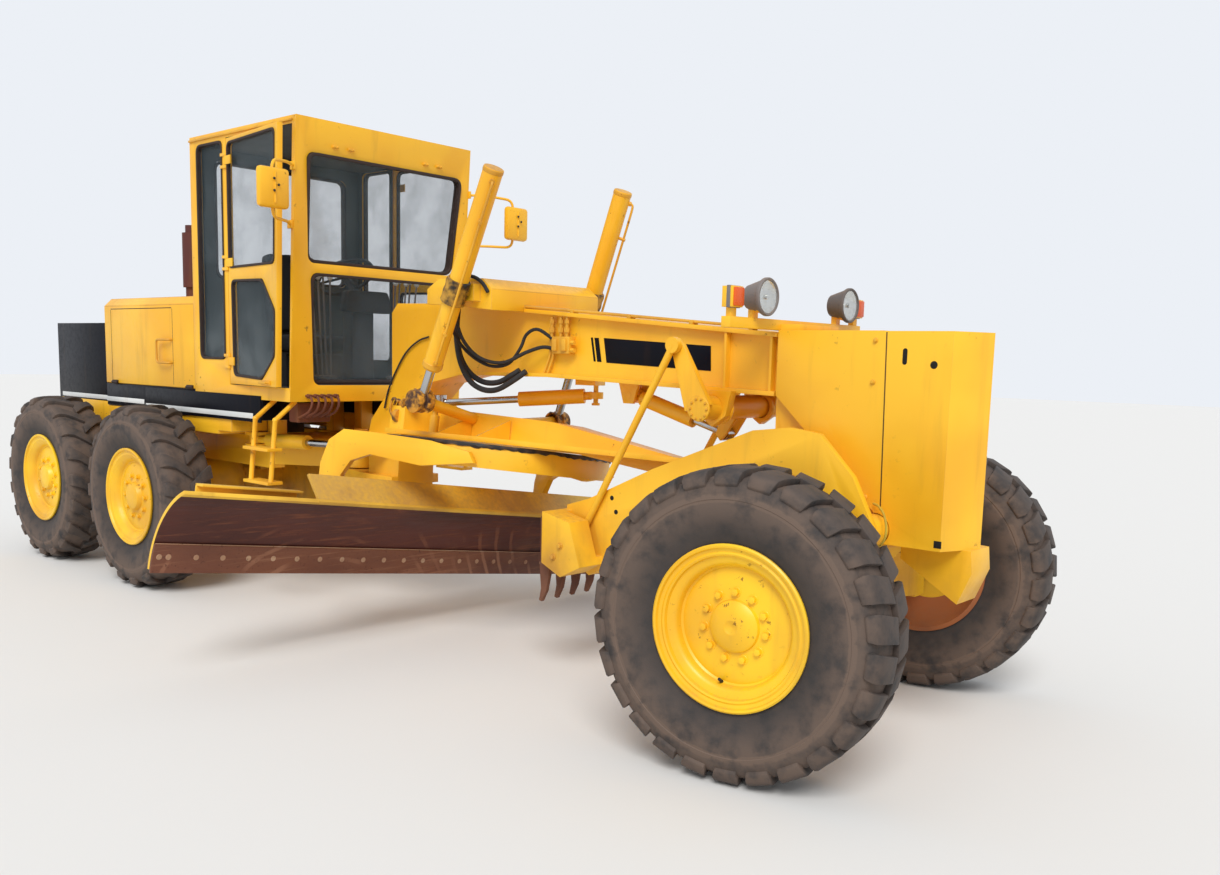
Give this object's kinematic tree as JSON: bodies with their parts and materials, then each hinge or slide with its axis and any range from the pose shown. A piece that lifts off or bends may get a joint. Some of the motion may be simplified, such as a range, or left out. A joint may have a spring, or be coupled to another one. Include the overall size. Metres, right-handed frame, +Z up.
{
  "type": "motor grader",
  "caption": "Motor grader with an articulated frame, tandem rear wheels, a glazed cab, a rolled and shifted blade under a turning circle, and a scarifier ahead of it.",
  "frame": {"origin": "on the ground, on the centreline, below the articulation pin", "axes": "+X forward, +Y to the machine's left, +Z up"},
  "size_m": [8.2622, 3.7666, 3.2084],
  "materials": {
    "yellow_paint": "weathered satin",
    "black_paint": "satin",
    "cast_iron": "rough",
    "rust": "rusty",
    "blade_steel": "worn and rusty",
    "chrome_rod": "polished",
    "glass": "clear",
    "tyre": "worn",
    "seat": "matt",
    "plastic": "matt"
  },
  "bodies": {
    "chassis": {"rear_frame": "yellow_paint", "tandem_cases": "yellow_paint", "engine_hood": "yellow_paint", "engine_block": "cast_iron", "side_boxes": "yellow_paint", "side_band": "black_paint", "tail_housing": "black_paint", "exhaust": "rust", "steps": "yellow_paint", "cab_shell": "yellow_paint", "cab_glass": "glass", "seat": "seat", "console": "plastic", "mirrors": "yellow_paint"},
    "door_right": {"door_right": "yellow_paint", "door_right_glass": "glass"},
    "door_left": {"door_left": "yellow_paint", "door_left_glass": "glass"},
    "front": {"front_frame": "yellow_paint", "lift_saddle": "yellow_paint", "nose_box": "yellow_paint", "lamp_bar": "yellow_paint", "front_axle": "yellow_paint"},
    "knuckle_right": {"knuckle_right": "yellow_paint"},
    "knuckle_left": {"knuckle_left": "yellow_paint"},
    "tie_rod": {"tie_rod": "chrome_rod"},
    "drawbar": {"drawbar": "yellow_paint"},
    "turn_circle": {"turn_circle": "yellow_paint"},
    "blade": {"moldboard": "blade_steel", "cutting_edge": "blade_steel"},
    "shift_barrel": {"shift_barrel": "yellow_paint"},
    "shift_rod": {"shift_rod": "chrome_rod"},
    "scarifier": {"scarifier": "yellow_paint", "scarifier_tines": "rust"},
    "scarifier_crank": {"scarifier_crank": "yellow_paint"},
    "scarifier_links": {"scarifier_links": "yellow_paint"},
    "scarifier_barrel": {"scarifier_barrel": "yellow_paint"},
    "scarifier_rod": {"scarifier_rod": "chrome_rod"},
    "wheel_front_right": {"tyre_front_right": "tyre", "rim_front_right": "yellow_paint"},
    "wheel_front_left": {"tyre_front_left": "tyre", "rim_front_left": "yellow_paint"},
    "wheel_mid_right": {"tyre_mid_right": "tyre", "rim_mid_right": "yellow_paint"},
    "wheel_mid_left": {"tyre_mid_left": "tyre", "rim_mid_left": "yellow_paint"},
    "wheel_rear_right": {"tyre_rear_right": "tyre", "rim_rear_right": "yellow_paint"},
    "wheel_rear_left": {"tyre_rear_left": "tyre", "rim_rear_left": "yellow_paint"},
    "artic_barrel_right": {"artic_barrel_right": "yellow_paint"},
    "artic_rod_right": {"artic_rod_right": "chrome_rod"},
    "lift_barrel_right": {"lift_barrel_right": "yellow_paint"},
    "lift_rod_right": {"lift_rod_right": "chrome_rod"},
    "artic_barrel_left": {"artic_barrel_left": "yellow_paint"},
    "artic_rod_left": {"artic_rod_left": "chrome_rod"},
    "lift_barrel_left": {"lift_barrel_left": "yellow_paint"},
    "lift_rod_left": {"lift_rod_left": "chrome_rod"}
  },
  "joints": [
    {"name": "articulation", "type": "hinge", "parent": "chassis", "child": "front", "pos_m": [0, 0, 1.025], "axis": [0, 0, 1], "range_deg": [-20, 20]},
    {"name": "artic_barrel_right", "type": "hinge", "parent": "chassis", "child": "artic_barrel_right", "pos_m": [-0.56, -0.5, 1.105], "axis": [0, 0, 1], "range_deg": [-7, 7]},
    {"name": "artic_rod_right", "type": "slide", "parent": "artic_barrel_right", "child": "artic_rod_right", "axis": [0.9935, 0.1116, 0.0223], "range_m": [-0.16, 0.16]},
    {"name": "artic_barrel_left", "type": "hinge", "parent": "chassis", "child": "artic_barrel_left", "pos_m": [-0.56, 0.5, 1.105], "axis": [0, 0, 1], "range_deg": [-7, 7]},
    {"name": "artic_rod_left", "type": "slide", "parent": "artic_barrel_left", "child": "artic_rod_left", "axis": [0.9935, -0.1116, 0.0223], "range_m": [-0.16, 0.16]},
    {"name": "steer_right", "type": "hinge", "parent": "front", "child": "knuckle_right", "pos_m": [3.95, -0.7, 0.665], "axis": [0, 0, 1], "range_deg": [-44, 26]},
    {"name": "steer_left", "type": "hinge", "parent": "front", "child": "knuckle_left", "pos_m": [3.95, 0.7, 0.665], "axis": [0, 0, 1], "range_deg": [-44, 26]},
    {"name": "tie_rod_eye", "type": "hinge", "parent": "knuckle_right", "child": "tie_rod", "pos_m": [3.71295, -0.73754, 0.522], "axis": [0, 0, 1], "range_deg": [-26, 44]},
    {"name": "spin_front_right", "type": "hinge", "parent": "knuckle_right", "child": "wheel_front_right", "pos_m": [3.98989, -0.95186, 0.665], "axis": [-0.1564, 0.9877, 0], "continuous": true},
    {"name": "spin_mid_right", "type": "hinge", "parent": "chassis", "child": "wheel_mid_right", "pos_m": [-1.27, -0.955, 0.665], "axis": [0, 1, 0], "continuous": true},
    {"name": "spin_rear_right", "type": "hinge", "parent": "chassis", "child": "wheel_rear_right", "pos_m": [-2.81, -0.955, 0.665], "axis": [0, 1, 0], "continuous": true},
    {"name": "spin_front_left", "type": "hinge", "parent": "knuckle_left", "child": "wheel_front_left", "pos_m": [3.91011, 0.95186, 0.665], "axis": [-0.1564, 0.9877, 0], "continuous": true},
    {"name": "spin_mid_left", "type": "hinge", "parent": "chassis", "child": "wheel_mid_left", "pos_m": [-1.27, 0.955, 0.665], "axis": [0, 1, 0], "continuous": true},
    {"name": "spin_rear_left", "type": "hinge", "parent": "chassis", "child": "wheel_rear_left", "pos_m": [-2.81, 0.955, 0.665], "axis": [0, 1, 0], "continuous": true},
    {"name": "door_right", "type": "hinge", "parent": "chassis", "child": "door_right", "pos_m": [-0.515, -0.72, 2.33], "axis": [0, 0, -1], "range_deg": [-7, 85]},
    {"name": "door_left", "type": "hinge", "parent": "chassis", "child": "door_left", "pos_m": [-0.515, 0.72, 2.33], "axis": [0, 0, 1], "range_deg": [0, 85]},
    {"name": "drawbar_lift", "type": "hinge", "parent": "front", "child": "drawbar", "pos_m": [3.6, 0, 1.08], "axis": [0, 1, 0], "range_deg": [-8, 2]},
    {"name": "lift_barrel_right", "type": "hinge", "parent": "front", "child": "lift_barrel_right", "pos_m": [1.69, -0.57, 2.1], "axis": [0.1362, 0.9904, -0.0233], "range_deg": [-9, 3]},
    {"name": "lift_rod_right", "type": "slide", "parent": "lift_barrel_right", "child": "lift_rod_right", "axis": [-0.4719, 0.0442, -0.8805], "range_m": [-0.09, 0.32]},
    {"name": "lift_barrel_left", "type": "hinge", "parent": "front", "child": "lift_barrel_left", "pos_m": [1.69, 0.57, 2.1], "axis": [0.1937, 0.9809, -0.0197], "range_deg": [-9, 3]},
    {"name": "lift_rod_left", "type": "slide", "parent": "lift_barrel_left", "child": "lift_rod_left", "axis": [-0.3941, 0.0594, -0.9171], "range_m": [-0.09, 0.32]},
    {"name": "shift_barrel", "type": "hinge", "parent": "front", "child": "shift_barrel", "pos_m": [2.04, 0.25, 1.52], "axis": [-0.5312, 0.8435, 0.0793], "range_deg": [-19, 5]},
    {"name": "shift_rod", "type": "slide", "parent": "shift_barrel", "child": "shift_rod", "axis": [-0.8469, -0.526, -0.0775], "range_m": [-0.04, 0.11]},
    {"name": "circle_turn", "type": "hinge", "parent": "drawbar", "child": "turn_circle", "pos_m": [1.45, 0.00348, 1.10577], "axis": [0, -0.134, -0.991], "range_deg": [-30, 30]},
    {"name": "blade_shift", "type": "slide", "parent": "turn_circle", "child": "blade", "axis": [0, 0.991, -0.134], "range_m": [-0.45, 0.85]},
    {"name": "scarifier_lift", "type": "hinge", "parent": "front", "child": "scarifier", "pos_m": [4.182, 0, 1.008], "axis": [0, 1, 0], "range_deg": [-18, 3]},
    {"name": "scarifier_crank", "type": "hinge", "parent": "front", "child": "scarifier_crank", "pos_m": [3.268, 0, 1.514], "axis": [0, 1, 0], "range_deg": [-78, 14]},
    {"name": "scarifier_link", "type": "hinge", "parent": "scarifier", "child": "scarifier_links", "pos_m": [2.511, 0, 0.755], "axis": [0, 1, 0], "range_deg": [-3, 1]},
    {"name": "scarifier_barrel", "type": "hinge", "parent": "front", "child": "scarifier_barrel", "pos_m": [2.565, 0, 1.545], "axis": [0, 1, 0], "range_deg": [-5, 1]},
    {"name": "scarifier_rod", "type": "slide", "parent": "scarifier_barrel", "child": "scarifier_rod", "axis": [0.963, 0, -0.2696], "range_m": [-0.04, 0.21]}
  ],
  "couplings": [
    {"joint": "artic_barrel_right", "follows": "articulation", "ratio": 0.3119},
    {"joint": "artic_rod_right", "follows": "articulation", "m_per_rad": 0.4323},
    {"joint": "artic_barrel_left", "follows": "articulation", "ratio": 0.3119},
    {"joint": "artic_rod_left", "follows": "articulation", "m_per_rad": -0.4323},
    {"joint": "steer_left", "follows": "steer_right", "ratio": 1},
    {"joint": "tie_rod_eye", "follows": "steer_right", "ratio": -1},
    {"joint": "lift_barrel_right", "follows": "drawbar_lift", "ratio": 0.89206},
    {"joint": "lift_rod_right", "follows": "drawbar_lift", "m_per_rad": -2.1604},
    {"joint": "lift_barrel_left", "follows": "drawbar_lift", "ratio": 0.73761},
    {"joint": "lift_rod_left", "follows": "drawbar_lift", "m_per_rad": -2.1452},
    {"joint": "shift_barrel", "follows": "drawbar_lift", "ratio": 2.2441},
    {"joint": "shift_rod", "follows": "drawbar_lift", "m_per_rad": -0.66894},
    {"joint": "scarifier_crank", "follows": "scarifier_lift", "ratio": 4.2592},
    {"joint": "scarifier_link", "follows": "scarifier_lift", "ratio": 0.11501},
    {"joint": "scarifier_barrel", "follows": "scarifier_lift", "ratio": 0.21785},
    {"joint": "scarifier_rod", "follows": "scarifier_lift", "m_per_rad": -0.64326}
  ]
}
